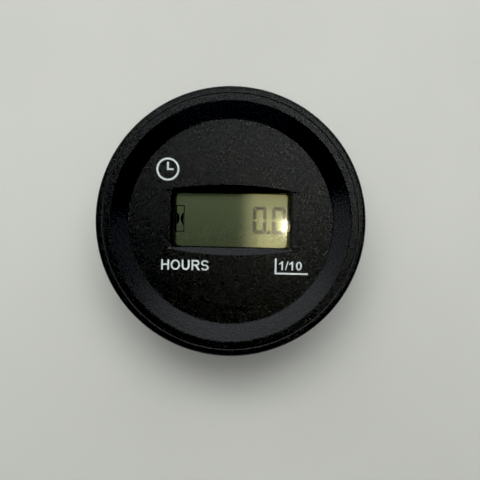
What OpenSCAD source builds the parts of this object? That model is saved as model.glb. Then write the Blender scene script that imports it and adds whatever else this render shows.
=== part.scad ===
// Round panel hour meter with a liquid-crystal display.
// A dished bezel with a scooped window closes a cup-shaped case; the display stack and the circuit board
// hang behind the dial, and a stirrup clamp on two studs grips the panel from behind.
// The origin is the centre of the panel seat, the back face of the gasket. +Z points out of the dial,
// +Y to the top of the display and +X to its right. All lengths are in millimetres.

/* [Bezel] */
// Distance that the bezel stands out past the body
flange_w = 3.6; // [3.2:0.1:5]
// Height of the rim above the gasket
rim_h = 6; // [5.5:0.25:7]
// Width of the ring of the case that shows round the cover
ring_w = 1.5; // [1.2:0.1:1.8]
// Width of the flat rim on the cover
rim_w = 1.6; // [1.45:0.05:1.9]
// Width of the cone between the rim and the dial, seen from the front
cone_w = 3.6; // [3:0.1:4.2]
// Depth of the dial below the rim
dial_depth = 2.6; // [2.2:0.1:3]
// Rounding of the outer edge of the bezel
edge_r = 0.6; // [0.3:0.1:0.8]
// Rounding where the cone meets the rim and the dial
cone_edge_r = 0.4; // [0.2:0.1:0.8]
// Bevel on each side of the seam between cover and case
seam_bevel = 0.15; // [0.1:0.05:0.3]
// Free gap between cover and case at the seam
seam_gap = 0.05; // [0.03:0.01:0.15]

/* [Display window] */
// Width of the window opening
window_w = 26.2; // [23:0.2:28]
// Height of the window opening
window_h = 12.2; // [10:0.2:13]
// Height of the window's middle above the middle of the dial
window_y = 0.25; // [-0.5:0.05:0.5]
// Corner radius of the window opening
window_corner_r = 0.9; // [0.4:0.1:1.5]
// Width of the scoop round the window, at the dial
scoop_w = 30.6; // [28:0.2:33]
// Depth of the scoop at the middle of the window
scoop_depth = 1.3; // [0.9:0.1:1.5]
// Slope of the scoop's upper and lower walls from the dial, in degrees
scoop_slope = 40; // [36:1:60]
// Width of the bevel down the left and right edge of the window
window_bevel = 0.3; // [0.2:0.05:0.4]

/* [Cover] */
// Wall of the cover
cover_t = 2; // [1.9:0.1:2.5]
// Thickness of the cover's outer wall, which stands on the ledge of the case
cover_wall = 1.4; // [1.2:0.1:1.5]
// Thickness of the ring that enters the case
spigot_t = 2.3; // [2.1:0.1:2.5]
// Length of that ring below the ledge
spigot_h = 5.6; // [5.2:0.1:6]
// Free gap between that ring and the bore of the case
spigot_gap = 0.1; // [0.05:0.05:0.2]
// Height of the snap bead above the ring
bead_h = 0.35; // [0.2:0.05:0.5]
// Width of the snap bead
bead_w = 1.4; // [1:0.1:1.6]
// Diameter of the round section of the seal
seal_d = 1.4; // [1.2:0.1:1.5]
// Diameter of the bosses that carry the board
boss_d = 4.4; // [4:0.2:5]

/* [Case] */
// Diameter of the body behind the panel
body_d = 50.8; // [46:0.2:58]
// Depth of the body behind the panel seat
body_depth = 22; // [19.5:0.5:30]
// Wall of the body
body_wall = 1.8; // [1.6:0.1:2]
// Thickness of the flange between the gasket and the cover
flange_t = 1.8; // [1.5:0.1:2.2]
// Thickness of the rear wall
rear_t = 2; // [1.6:0.1:2.4]
// Rounding of the rear edge
rear_edge_r = 1; // [0.5:0.1:1.5]
// Height of the raised collars on the rear wall
collar_h = 1.2; // [0.8:0.1:2]
// Diameter of the bosses that hold the studs
stud_boss_d = 10; // [9.4:0.2:11]
// Height of those bosses inside the rear wall
stud_boss_h = 4; // [3.5:0.1:5]

/* [Panel and gasket] */
// Thickness of the panel gasket
gasket_t = 0.8; // [0.5:0.1:1.5]
// Free gap between the gasket and the body
gasket_gap = 0.1; // [0.05:0.05:0.3]
// Setback of the gasket from the flat of the flange
gasket_inset = 0.4; // [0.2:0.1:0.8]
// Thickness of panel that the clamp is set for
panel_t = 5; // [4.5:0.25:6]
// Clearance of the panel hole round the body, on the diameter
hole_play = 1.2; // [0.8:0.1:1.6]

/* [Clamp] */
// Width of the clamp strip
clamp_w = 12; // [10:0.5:14]
// Thickness of the clamp strip
clamp_t = 1.5; // [1.2:0.1:1.6]
// Spare length of the clamp legs past the rear of the case
clamp_spare = 0.8; // [0.4:0.1:3]
// Inside radius of the bends
clamp_bend_r = 1.5; // [1:0.1:2]
// Distance of the clamp legs from the edge of the panel hole
clamp_land = 0.4; // [0.2:0.1:0.8]
// Corner radius of the leg ends
clamp_corner_r = 2; // [1:0.25:3]
// Distance between the studs
stud_pitch = 32; // [28:0.5:34]
// Diameter of the stud thread
stud_d = 4; // [3.6:0.1:4.2]
// Diameter of the stud head
stud_head_d = 7; // [6:0.2:8]
// Thickness of the stud head
stud_head_t = 1.6; // [1:0.1:2]
// Length of stud that stands past the nut
stud_over = 2; // [1:0.5:4]
// Clearance of the clamp holes round the studs, on the diameter
stud_play = 0.5; // [0.3:0.1:0.8]
// Nut across flats
nut_af = 7; // [6.5:0.1:8]
// Nut height
nut_h = 3.2; // [2.4:0.1:4]
// Free gap between nut and stud
nut_gap = 0.05; // [0.02:0.01:0.1]
// Outside diameter of the spring washer
washer_d = 7.2; // [6.6:0.1:8]
// Thickness of the spring washer
washer_t = 0.9; // [0.6:0.1:1.2]
// Width of the split in the spring washer
washer_split = 0.6; // [0.3:0.1:1]

/* [Terminals] */
// Width of the tab
tab_w = 6.3; // [4.8:0.1:6.6]
// Thickness of the tab
tab_t = 0.8; // [0.5:0.1:1]
// Length of the tab past its collar
tab_h = 8; // [6:0.5:9]
// Distance between the two tabs
tab_pitch = 26; // [25:0.5:28]
// Diameter of the hole in the tab
tab_hole_d = 1.8; // [1.2:0.1:2.2]
// Free gap between a tab and its slot
tab_gap = 0.05; // [0.02:0.01:0.1]
// Width of the tab's shoulder inside the rear wall, past the tab on each side
tab_shoulder = 1; // [0.6:0.1:1.4]
// Height of that shoulder
tab_shoulder_h = 2.4; // [1.5:0.1:3]
// Distance of the tab's hole from its end
tab_hole_at = 3.4; // [2.5:0.1:4]
// Width of the stem between the shoulder and the board
stem_w = 5; // [4:0.1:6]
// Width of the solder tail
tail_w = 3; // [2:0.1:3.8]

/* [Display stack] */
// Width of the lens lip behind the dial
lens_lip = 0.9; // [0.7:0.05:1]
// Thickness of the lens behind the dial
lens_t = 1.2; // [0.8:0.1:2]
// Setback of the lens from the bottom of the scoop
lens_setback = 0.25; // [0.1:0.05:0.3]
// Free gap round the raised part of the lens
lens_gap = 0.05; // [0.02:0.01:0.1]
// Distance that the display glass reaches past the window at each side
glass_side = 1.1; // [1:0.1:2]
// Distance that the rear glass reaches past the window above and below
glass_over = 0.6; // [0.5:0.1:1]
// Thickness of each display glass
glass_t = 1.1; // [0.7:0.1:1.2]
// Height of the contact ledge along the upper and lower edge of the front glass
contact_w = 2; // [1.8:0.1:2.4]
// Thickness of the polariser and reflector films
film_t = 0.2; // [0.1:0.05:0.3]
// Distance of the films from the edge of the glass
film_inset = 0.3; // [0.2:0.05:0.4]
// Wall of the display holder
holder_wall = 1.2; // [1:0.1:1.6]
// Free gap round the glass in its holder
holder_gap = 0.1; // [0.05:0.05:0.2]
// Corner radius of the display holder
holder_corner_r = 1.5; // [0.5:0.25:2]
// Width of the ribs that carry the display
holder_rib = 1.3; // [1:0.1:1.6]
// Free gap on each side of a contact strip in its channel
strip_gap = 0.2; // [0.1:0.05:0.3]
// Distance of a contact strip's ends from the ends of the glass
strip_inset = 1.5; // [0.5:0.25:3]

/* [Circuit board] */
// Distance from the back of the dial to the board
board_drop = 7.2; // [6.6:0.1:8]
// Thickness of the board
board_t = 1.6; // [1:0.1:2]
// Free gap between the board and the bore of the case
board_gap = 0.8; // [0.4:0.1:1.2]
// Sideways distance of the board screws from the middle
board_screw_x = 9; // [8:0.25:10]
// Distance of the screw bosses from the display holder
boss_gap = 0.6; // [0.3:0.1:1]
// Diameter of the board screws
screw_d = 2; // [1.6:0.1:2.2]
// Length of the board screws
screw_l = 7; // [5:0.5:8]
// Head diameter of the board screws
screw_head_d = 3.8; // [3.4:0.1:4]
// Head height of the board screws
screw_head_h = 1.4; // [1:0.1:1.8]
// Clearance of the board holes round the screws, on the diameter
screw_play = 0.4; // [0.2:0.1:0.6]
// Distance of the parts on the board from its edge
part_edge = 1.2; // [0.8:0.1:1.6]
// Distance between neighbouring parts on the board
part_gap = 1; // [0.8:0.1:1.4]
// Diameter of the lithium cell
cell_d = 16; // [12:0.5:18]
// Height of the lithium cell
cell_h = 3.2; // [2.5:0.1:4]
// Width of the cell's solder strips
cell_tab_w = 4; // [3:0.2:5]
// Thickness of the cell's solder strips
cell_tab_t = 0.3; // [0.2:0.05:0.4]
// Length of the solder strips past the middle of the cell
cell_weld = 2.5; // [1.5:0.1:4]
// Length of the inner strip past the edge of the cell, on the board
cell_foot = 1.8; // [1:0.1:2.4]
// Side of the controller chip
chip_w = 7; // [6:0.2:8]
// Height of both chips
chip_h = 1.4; // [1:0.1:2]
// Length of the memory chip
memory_w = 4.9; // [4:0.1:5.4]
// Width of the memory chip
memory_h = 3.9; // [3:0.1:4.4]
// Diameter of the crystal
crystal_d = 2; // [1.5:0.1:2.4]
// Length of the crystal
crystal_l = 6; // [5:0.1:7]
// Diameter of the filter capacitor
capacitor_d = 6.3; // [5:0.1:6.6]
// Height of the filter capacitor
capacitor_h = 5.4; // [4:0.1:6.4]
// Width of the rectifier
rectifier_w = 5; // [4:0.1:5.4]
// Length of the rectifier
rectifier_l = 6.4; // [5:0.1:6.8]
// Height of the rectifier
rectifier_h = 3; // [2:0.1:3.6]
// Diameter of the varistor
varistor_d = 5; // [4:0.2:5.4]
// Thickness of the varistor
varistor_t = 2.8; // [2:0.1:3]
// Diameter of the dropper resistors
resistor_d = 2.4; // [1.8:0.1:2.6]
// Length of the dropper resistors
resistor_l = 6.3; // [5:0.1:7]

/* [Hidden] */
$fn = 96;

body_r = body_d / 2;
bezel_r = body_r + flange_w;
bezel_d = 2 * bezel_r;
bore_r = body_r - body_wall;
ring_in_r = bezel_r - ring_w;
cover_r = ring_in_r - seam_gap;
cone_top_r = cover_r - rim_w;
dial_r = cone_top_r - cone_w;
spigot_r = bore_r - spigot_gap;
spigot_in_r = spigot_r - spigot_t;
flange_bevel = 0.5;

flange_z = gasket_t;
ledge_z = flange_z + flange_t;
rim_z = flange_z + rim_h;
dial_z = rim_z - dial_depth;
dial_back_z = dial_z - cover_t;
scoop_z = dial_z - scoop_depth;
rear_z = -body_depth;
floor_z = rear_z + rear_t;

spigot_z = ledge_z - spigot_h;
lead_in = 0.4;
seal_z = ledge_z - 1.9;
seal_play = 0.02;
seal_ring_r = bore_r - seal_d / 2 - seal_play;
seal_seat_r = seal_ring_r - seal_d / 2 - seal_play;
seal_groove_w = seal_d + 0.4;
bead_z = spigot_z + 1.5;
bead_play = 0.1;

lens_w = window_w + 2 * lens_lip;
lens_h = window_h + 2 * lens_lip;
lens_top_z = scoop_z - lens_setback;
lens_back_z = dial_back_z - lens_t;

front_film_z = lens_back_z - film_t;
front_glass_z = front_film_z - glass_t;
rear_glass_z = front_glass_z - glass_t;
reflector_z = rear_glass_z - film_t;
glass_w = window_w + 2 * glass_side;
rear_glass_h = window_h + 2 * glass_over;
glass_h = rear_glass_h + 2 * contact_w;
strip_w = contact_w - 2 * strip_gap;
strip_l = glass_w - 2 * strip_inset;

board_z = dial_back_z - board_drop;
board_back_z = board_z - board_t;
board_r = bore_r - board_gap;

holder_in_w = glass_w + 2 * holder_gap;
holder_in_h = glass_h + 2 * holder_gap;
holder_w = holder_in_w + 2 * holder_wall;
holder_h = holder_in_h + 2 * holder_wall;

hole_r = (body_d + hole_play) / 2;
clamp_in_x = hole_r + clamp_land;
clamp_out_x = clamp_in_x + clamp_t;
clamp_h = body_depth + collar_h + clamp_spare;
foot_z = -panel_t;
bridge_z = foot_z - clamp_h;
bridge_back_z = bridge_z - clamp_t;
washer_z = bridge_back_z - washer_t;
nut_z = washer_z - nut_h;
stud_end_z = nut_z - stud_over;
stud_head_z = floor_z + stud_boss_h - 1;

collar_z = rear_z - collar_h;
tab_end_z = collar_z - tab_h;
slot_w = tab_w + 2 * tab_gap;
slot_t = tab_t + 2 * tab_gap;
collar_wall = 1.4;
pilot_play = 0.05;
tail_play = 0.1;
lead_t = 0.4;

board_screw_y = abs(window_y) + holder_h / 2 + boss_d / 2 + boss_gap;
parts_x = board_r - part_edge;
rectifier_x = parts_x - part_gap - rectifier_w / 2;
chip_x = rectifier_x - rectifier_w / 2 - part_gap - chip_w / 2;
crystal_x = chip_x - chip_w / 2 - part_gap - crystal_d / 2;
capacitor_x = parts_x - capacitor_d / 2;
memory_x = chip_x;
resistor_x = memory_x - memory_w / 2 - part_gap - resistor_d / 2;
resistor_pitch = resistor_d + part_gap;
lead_reach = 1;

cell_x = -parts_x + cell_d / 2;
cell_z = board_back_z - cell_tab_t;
cell_back_z = cell_z - cell_h;

// A point's place without its rounding
function flat(p) = [p[0], p[1]];

function unit(v) = v / norm(v);

// The points of one corner, rounded with radius r
function corner(before, p, after, r, steps) =
    r <= 0 ? [p] :
    let (a = unit(before - p))
    let (b = unit(after - p))
    let (half = acos(a * b) / 2)
    let (centre = p + unit(a + b) * r / sin(half))
    let (from = p + a * r / tan(half) - centre)
    let (to = p + b * r / tan(half) - centre)
    let (start = atan2(from[1], from[0]))
    let (turn = (atan2(to[1], to[0]) - start + 540) % 360 - 180)
    [for (i = [0:steps]) centre + r * [cos(start + turn * i / steps), sin(start + turn * i / steps)]];

// An outline whose points [x, y, r] each carry their own rounding
function rounded(points, steps = 6) =
    let (n = len(points))
    [for (i = [0:n - 1])
        each corner(flat(points[(i + n - 1) % n]), flat(points[i]), flat(points[(i + 1) % n]),
            points[i][2], steps)];

function rounded_box(w, h, r) =
    rounded([[-w / 2, -h / 2, r], [w / 2, -h / 2, r], [w / 2, h / 2, r], [-w / 2, h / 2, r]]);

// A slab with rounded corners, standing on height z
module slab(w, h, r, z, t) {
    translate([0, 0, z])
        linear_extrude(height = t)
            polygon(rounded_box(w, h, r));
}

// A plain box centred on x and y, from height z0 up to z1
module block(w, h, z0, z1) {
    translate([-w / 2, -h / 2, z0])
        cube([w, h, z1 - z0]);
}

module at_window() {
    translate([0, window_y, 0])
        children();
}

module at_studs() {
    for (side = [-1, 1])
        translate([side * stud_pitch / 2, 0, 0])
            children();
}

module at_tabs() {
    for (side = [-1, 1])
        translate([0, side * tab_pitch / 2, 0])
            children();
}

module at_board_screws() {
    for (side = [-1, 1])
        for (end = [-1, 1])
            translate([side * board_screw_x, end * board_screw_y, 0])
                children();
}

// The upper wall of the scoop, or with end = 1 the lower one: a leaning cylinder
module scoop_wall(end) {
    half = scoop_w / 2;
    rise = scoop_depth * cos(scoop_slope);
    wall_r = (half * half + rise * rise) / (2 * rise);
    wall_y = window_h / 2 + scoop_depth / tan(scoop_slope);
    mirror([0, end, 0])
        translate([0, wall_y - wall_r * sin(scoop_slope), dial_z + wall_r * cos(scoop_slope)])
            rotate([scoop_slope - 90, 0, 0])
                cylinder(r = wall_r, h = 8 * bezel_r, center = true);
}

function scoop_r() = (scoop_w * scoop_w / 4 + scoop_depth * scoop_depth) / (2 * scoop_depth);

// The hollow above and below the window: a cylinder across the dial, closed by the leaning walls, which
// run out to nothing at the ends of the scoop. Beside the window the dial stays flat.
module scoop() {
    cheek_x = window_w / 2 - window_corner_r;
    difference() {
        intersection() {
            translate([0, 0, scoop_z + scoop_r()])
                rotate([90, 0, 0])
                    cylinder(r = scoop_r(), h = bezel_d, center = true);
            scoop_wall(0);
            scoop_wall(1);
            block(bezel_d, bezel_d, scoop_z - cover_t, dial_z + cover_t / 5);
        }
        for (side = [-1, 1])
            translate([side * (cheek_x + bezel_r), 0, 0])
                block(bezel_d, window_h, scoop_z - 2 * cover_t, dial_z + cover_t);
    }
}

// The window opening, with a bevel from the dial down its left and right edge
module window_opening() {
    half = window_w / 2;
    foot_level = (lens_top_z + dial_z) / 2;
    slab(window_w, window_h, window_corner_r, dial_back_z - cover_t, 3 * cover_t);
    rotate([90, 0, 0])
        linear_extrude(height = window_h + window_bevel / 2, center = true)
            polygon([
                [-half, foot_level],
                [half, foot_level],
                [half + 2 * window_bevel, 2 * dial_z - foot_level],
                [-half - 2 * window_bevel, 2 * dial_z - foot_level]
            ]);
}

module front_cover() {
    under_r = min(cone_top_r, cover_r - cover_wall - 0.05);
    color("#17181a")
    difference() {
        union() {
            rotate_extrude()
                polygon(rounded([
                    [0, dial_z, 0],
                    [dial_r, dial_z, cone_edge_r],
                    [cone_top_r, rim_z, cone_edge_r],
                    [cover_r - seam_bevel, rim_z, 0],
                    [cover_r, rim_z - seam_bevel, 0],
                    [cover_r, ledge_z, 0],
                    [cover_r - cover_wall, ledge_z, 0],
                    [cover_r - cover_wall, rim_z - cover_t, 0],
                    [under_r, rim_z - cover_t, 0],
                    [dial_r, dial_back_z, 0],
                    [0, dial_back_z, 0]
                ]));
            rotate_extrude()
                polygon([
                    [spigot_in_r, dial_z - cover_t / 4],
                    [spigot_r, dial_z - cover_t / 4],
                    [spigot_r, seal_z + seal_groove_w / 2],
                    [seal_seat_r, seal_z + seal_groove_w / 2],
                    [seal_seat_r, seal_z - seal_groove_w / 2],
                    [spigot_r, seal_z - seal_groove_w / 2],
                    [spigot_r, bead_z + bead_w / 2],
                    [spigot_r + bead_h, bead_z],
                    [spigot_r, bead_z - bead_w / 2],
                    [spigot_r, spigot_z + 0.3],
                    [spigot_r - 0.3, spigot_z],
                    [spigot_in_r, spigot_z]
                ]);
            at_board_screws()
                translate([0, 0, board_z])
                    cylinder(d = boss_d, h = board_drop + cover_t / 2);
        }
        at_window()
            scoop();
        at_window()
            window_opening();
        at_board_screws()
            translate([0, 0, board_z - 1])
                cylinder(d = screw_d + pilot_play, h = screw_l - board_t + 1.6);
    }
}

module window_lens() {
    color("#dfe6dc80")
    at_window() {
        slab(lens_w, lens_h, window_corner_r, lens_back_z, lens_t);
        slab(window_w - 2 * lens_gap, window_h - 2 * lens_gap, window_corner_r - lens_gap,
            dial_back_z - lens_t / 2, lens_top_z - dial_back_z + lens_t / 2);
    }
}

module cover_seal() {
    color("#0c0c0c")
    translate([0, 0, seal_z])
        rotate_extrude()
            translate([seal_ring_r, 0])
                circle(d = seal_d, $fn = 32);
}

// A stud as it lies in its boss; the boss is moulded round the same form
module stud() {
    rotate_extrude($fn = 48)
        polygon([
            [0, stud_end_z],
            [stud_d / 2 - 0.5, stud_end_z],
            [stud_d / 2, stud_end_z + 0.5],
            [stud_d / 2, stud_head_z - stud_head_t],
            [stud_head_d / 2, stud_head_z - stud_head_t],
            [stud_head_d / 2, stud_head_z],
            [0, stud_head_z]
        ]);
}

module case() {
    color("#141517")
    difference() {
        union() {
            rotate_extrude()
                polygon(rounded([
                    [0, rear_z, 0],
                    [body_r, rear_z, rear_edge_r],
                    [body_r, flange_z, 0],
                    [bezel_r - flange_bevel, flange_z, 0],
                    [bezel_r, flange_z + flange_bevel, 0],
                    [bezel_r, rim_z, edge_r],
                    [ring_in_r + seam_bevel, rim_z, 0],
                    [ring_in_r, rim_z - seam_bevel, 0],
                    [ring_in_r, ledge_z, 0],
                    [bore_r + lead_in, ledge_z, 0],
                    [bore_r, ledge_z - lead_in, 0],
                    [bore_r, bead_z + bead_w / 2 + bead_play, 0],
                    [bore_r + bead_h, bead_z, 0],
                    [bore_r, bead_z - bead_w / 2 - bead_play, 0],
                    [bore_r, floor_z, 1],
                    [0, floor_z, 0]
                ]));
            at_studs()
                translate([0, 0, floor_z - rear_t / 2])
                    cylinder(d = stud_boss_d, h = stud_boss_h + rear_t / 2);
            at_studs()
                translate([0, 0, collar_z])
                    cylinder(d = stud_boss_d, h = collar_h + rear_t / 2);
            at_tabs()
                slab(slot_w + 2 * collar_wall, slot_t + 2 * collar_wall, 1, collar_z, collar_h + rear_t / 2);
        }
        at_studs()
            stud();
        at_tabs()
            block(slot_w, slot_t, collar_z - 1, floor_z + 1);
    }
}

module panel_gasket() {
    color("#1d1d1d")
    difference() {
        cylinder(r = bezel_r - flange_bevel - gasket_inset, h = gasket_t);
        translate([0, 0, -1])
            cylinder(r = body_r + gasket_gap, h = gasket_t + 2);
    }
}

module clamp_bracket() {
    color("#b9bcc0")
    difference() {
        intersection() {
            rotate([90, 0, 0])
                linear_extrude(height = clamp_w, center = true)
                    polygon(rounded([
                        [-clamp_out_x, foot_z, 0],
                        [-clamp_out_x, bridge_back_z, clamp_bend_r + clamp_t],
                        [clamp_out_x, bridge_back_z, clamp_bend_r + clamp_t],
                        [clamp_out_x, foot_z, 0],
                        [clamp_in_x, foot_z, 0],
                        [clamp_in_x, bridge_z, clamp_bend_r],
                        [-clamp_in_x, bridge_z, clamp_bend_r],
                        [-clamp_in_x, foot_z, 0]
                    ]));
            rotate([90, 0, 90])
                linear_extrude(height = 2 * clamp_out_x + 2, center = true)
                    polygon(rounded([
                        [-clamp_w / 2, bridge_back_z - 1, 0],
                        [clamp_w / 2, bridge_back_z - 1, 0],
                        [clamp_w / 2, foot_z, clamp_corner_r],
                        [-clamp_w / 2, foot_z, clamp_corner_r]
                    ]));
        }
        at_studs()
            translate([0, 0, bridge_back_z - 1])
                cylinder(d = stud_d + stud_play, h = clamp_t + 2);
    }
}

module clamp_studs() {
    color("#c3c5c8")
    at_studs()
        stud();
}

module spring_washers() {
    color("#8f9296")
    at_studs()
        difference() {
            translate([0, 0, washer_z])
                cylinder(d = washer_d, h = washer_t, $fn = 48);
            translate([0, 0, washer_z - 1])
                cylinder(d = stud_d + 2 * nut_gap + 0.1, h = washer_t + 2, $fn = 48);
            translate([0, -washer_split / 2, washer_z - 1])
                cube([washer_d, washer_split, washer_t + 2]);
        }
}

module clamp_nuts() {
    color("#c3c5c8")
    at_studs()
        difference() {
            intersection() {
                translate([0, 0, nut_z])
                    cylinder(d = nut_af / cos(30), h = nut_h, $fn = 6);
                rotate_extrude($fn = 48)
                    polygon([
                        [0, nut_z],
                        [nut_af / 2, nut_z],
                        [nut_af / 2 + 0.7, nut_z + 0.4],
                        [nut_af / 2 + 0.7, washer_z - 0.4],
                        [nut_af / 2, washer_z],
                        [0, washer_z]
                    ]);
            }
            translate([0, 0, nut_z - 1])
                cylinder(d = stud_d + 2 * nut_gap, h = nut_h + 2, $fn = 48);
        }
}

// Half of a terminal's outline is given and mirrored: solder tail, stem, shoulder and tapered tab
module terminal() {
    half = [
        [tail_w / 2, board_z + 0.6],
        [tail_w / 2, board_back_z],
        [stem_w / 2, board_back_z],
        [stem_w / 2, floor_z + tab_shoulder_h],
        [tab_w / 2 + tab_shoulder, floor_z + tab_shoulder_h],
        [tab_w / 2 + tab_shoulder, floor_z],
        [tab_w / 2, floor_z],
        [tab_w / 2, tab_end_z + 1.6],
        [tab_w / 2 - 1, tab_end_z]
    ];
    rotate([90, 0, 0])
        difference() {
            linear_extrude(height = tab_t, center = true)
                polygon(concat(half, [for (i = [len(half) - 1:-1:0]) [-half[i][0], half[i][1]]]));
            translate([0, tab_end_z + tab_hole_at, 0])
                cylinder(d = tab_hole_d, h = tab_t + 2, center = true, $fn = 32);
        }
}

module terminal_upper() {
    color("#c9b878")
    translate([0, tab_pitch / 2, 0])
        terminal();
}

module terminal_lower() {
    color("#c9b878")
    translate([0, -tab_pitch / 2, 0])
        terminal();
}

module front_polariser() {
    color("#8b9080")
    at_window()
        block(glass_w - 2 * film_inset, rear_glass_h - 2 * film_inset + contact_w, front_film_z, lens_back_z);
}

module front_glass() {
    color("#cfe0d880")
    at_window()
        block(glass_w, glass_h, front_glass_z, front_film_z);
}

module rear_glass() {
    color("#cfe0d880")
    at_window()
        block(glass_w, rear_glass_h, rear_glass_z, front_glass_z);
}

module reflector() {
    color("#8d9178")
    at_window()
        block(glass_w - 2 * film_inset, rear_glass_h - 2 * film_inset, reflector_z, rear_glass_z);
}

module display_holder() {
    rib_y = rear_glass_h / 2;
    color("#e6e6e0")
    at_window()
        difference() {
            slab(holder_w, holder_h, holder_corner_r, board_z, board_drop);
            block(holder_in_w, holder_in_h, reflector_z, dial_back_z + 1);
            block(holder_in_w - 2 * holder_rib, rear_glass_h - 2 * holder_rib, board_z - 1, reflector_z + 1);
            for (end = [-1, 1])
                translate([0, end * (rib_y + holder_in_h / 2) / 2, 0])
                    block(holder_in_w, holder_in_h / 2 - rib_y, board_z - 1, reflector_z + 1);
        }
}

module contact_strip(end) {
    translate([0, window_y + end * (rear_glass_h / 2 + contact_w / 2), 0])
        block(strip_l, strip_w, board_z, front_glass_z);
}

module contact_strip_upper() {
    color("#d9d2c4")
    contact_strip(1);
}

module contact_strip_lower() {
    color("#d9d2c4")
    contact_strip(-1);
}

module circuit_board() {
    color("#1f6b3a")
    difference() {
        translate([0, 0, board_back_z])
            cylinder(r = board_r, h = board_t);
        at_board_screws()
            translate([0, 0, board_back_z - 1])
                cylinder(d = screw_d + screw_play, h = board_t + 2, $fn = 32);
        at_tabs()
            block(tail_w + 2 * tail_play, tab_t + 2 * tail_play, board_back_z - 1, board_z + 1);
    }
}

module board_screws() {
    color("#b4b7bb")
    at_board_screws()
        rotate_extrude($fn = 48)
            polygon(rounded([
                [0, board_back_z - screw_head_h, 0],
                [screw_head_d / 2, board_back_z - screw_head_h, 0.7],
                [screw_head_d / 2, board_back_z, 0],
                [screw_d / 2, board_back_z, 0],
                [screw_d / 2, board_back_z + screw_l - 0.8, 0],
                [0, board_back_z + screw_l, 0]
            ]));
}

module lithium_cell() {
    color("#c4c6c8")
    translate([cell_x, 0, 0])
        rotate_extrude()
            polygon(rounded([
                [0, cell_z, 0],
                [cell_d / 2 - 1.2, cell_z, 0],
                [cell_d / 2 - 1.2, cell_z - 0.4, 0],
                [cell_d / 2, cell_z - 0.4, 0.3],
                [cell_d / 2, cell_back_z, 0.3],
                [0, cell_back_z, 0]
            ]));
}

// A strip welded to the inner pole of the cell and soldered flat to the board
module cell_strip_inner() {
    color("#bfc1c4")
    translate([cell_x - cell_tab_w / 2, -cell_weld, cell_z])
        cube([cell_tab_w, cell_weld + cell_d / 2 + cell_foot, cell_tab_t]);
}

// A strip welded to the outer pole, folded up past the cell's edge to the board
module cell_strip_outer() {
    edge_x = cell_x + cell_d / 2 + 0.4;
    color("#bfc1c4")
    union() {
        translate([cell_x - cell_weld, -cell_tab_w / 2, cell_back_z - cell_tab_t])
            cube([edge_x + cell_tab_t - cell_x + cell_weld, cell_tab_w, cell_tab_t]);
        translate([edge_x, -cell_tab_w / 2, cell_back_z - cell_tab_t])
            cube([cell_tab_t, cell_tab_w, board_back_z - cell_back_z + cell_tab_t]);
    }
}

// A chip body with a row of folded leads along two opposite sides
module chip(w, h, t, leads, pitch) {
    standoff = 0.1;
    block(w, h, board_back_z - standoff - t, board_back_z - standoff);
    for (side = [-1, 1])
        for (i = [0:leads - 1])
            translate([(i - (leads - 1) / 2) * pitch, side * h / 2, 0])
                mirror([0, side < 0 ? 1 : 0, 0])
                    chip_lead(standoff + t / 2);
}

module chip_lead(rise) {
    translate([-lead_t / 2, -0.2, board_back_z - rise])
        cube([lead_t, 0.7, 0.15]);
    translate([-lead_t / 2, 0.35, board_back_z - rise])
        cube([lead_t, 0.15, rise]);
    translate([-lead_t / 2, 0.35, board_back_z - 0.15])
        cube([lead_t, 0.65, 0.15]);
}

module controller_chip() {
    color("#1b1b1d")
    translate([chip_x, chip_w / 2 + lead_reach, 0])
        union() {
            chip(chip_w, chip_w, chip_h, 8, chip_w / 9);
        }
}

module memory_chip() {
    color("#1b1b1d")
    translate([memory_x, -memory_h / 2 - lead_reach - part_gap, 0])
        union() {
            chip(memory_w, memory_h, chip_h, 4, memory_w / 4);
        }
}

// A small can lying along the board, with two leads bent to it
module timing_crystal() {
    axis_z = board_back_z - crystal_d / 2;
    color("#c9c9c4")
    translate([crystal_x, 1.5 * part_gap, 0])
        union() {
            translate([0, 0, axis_z])
                rotate([-90, 0, 0])
                    cylinder(d = crystal_d, h = crystal_l, $fn = 32);
            for (side = [-1, 1])
                translate([side * crystal_d / 4 - 0.15, -1.4, axis_z - 0.15]) {
                    cube([0.3, 1.6, 0.3]);
                    cube([0.3, 0.3, crystal_d / 2 + 0.15]);
                }
        }
}

module filter_capacitor() {
    top_z = board_back_z - capacitor_h;
    color("#23262b")
    translate([capacitor_x, -capacitor_d / 2 - part_gap, 0])
        rotate_extrude($fn = 64)
            polygon(rounded([
                [0, top_z, 0],
                [capacitor_d / 2, top_z, 0.4],
                [capacitor_d / 2, board_back_z - 2, 0],
                [capacitor_d / 2 - 0.3, board_back_z - 1.6, 0.2],
                [capacitor_d / 2, board_back_z - 1.2, 0],
                [capacitor_d / 2, board_back_z, 0],
                [0, board_back_z, 0]
            ]));
}

module bridge_rectifier() {
    color("#202022")
    translate([rectifier_x, rectifier_l / 2 + part_gap, 0])
        union() {
            block(rectifier_w, rectifier_l, board_back_z - rectifier_h, board_back_z - 0.4);
            for (side = [-1, 1])
                for (end = [-1, 1])
                    translate([side * rectifier_w / 3, end * rectifier_l / 3, 0])
                        block(0.8, 0.8, board_back_z - 1, board_back_z);
        }
}

// A coated disc standing on edge over two leads
module surge_varistor() {
    axis_z = board_back_z - 1 - varistor_d / 2;
    color("#1f4f8f")
    translate([stem_w / 2 + part_gap + varistor_t / 2, tab_pitch / 2, 0])
        rotate([0, 0, 90])
            union() {
                translate([0, 0, axis_z])
                    rotate([90, 0, 0])
                        rotate_extrude($fn = 48)
                            polygon(rounded([
                                [0, -varistor_t / 2, 0],
                                [varistor_d / 2, -varistor_t / 2, varistor_t / 3],
                                [varistor_d / 2, varistor_t / 2, varistor_t / 3],
                                [0, varistor_t / 2, 0]
                            ]));
                for (side = [-1, 1])
                    translate([side * varistor_d / 4, side * varistor_t / 5, axis_z])
                        cylinder(d = 0.6, h = board_back_z - axis_z, $fn = 24);
            }
}

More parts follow.
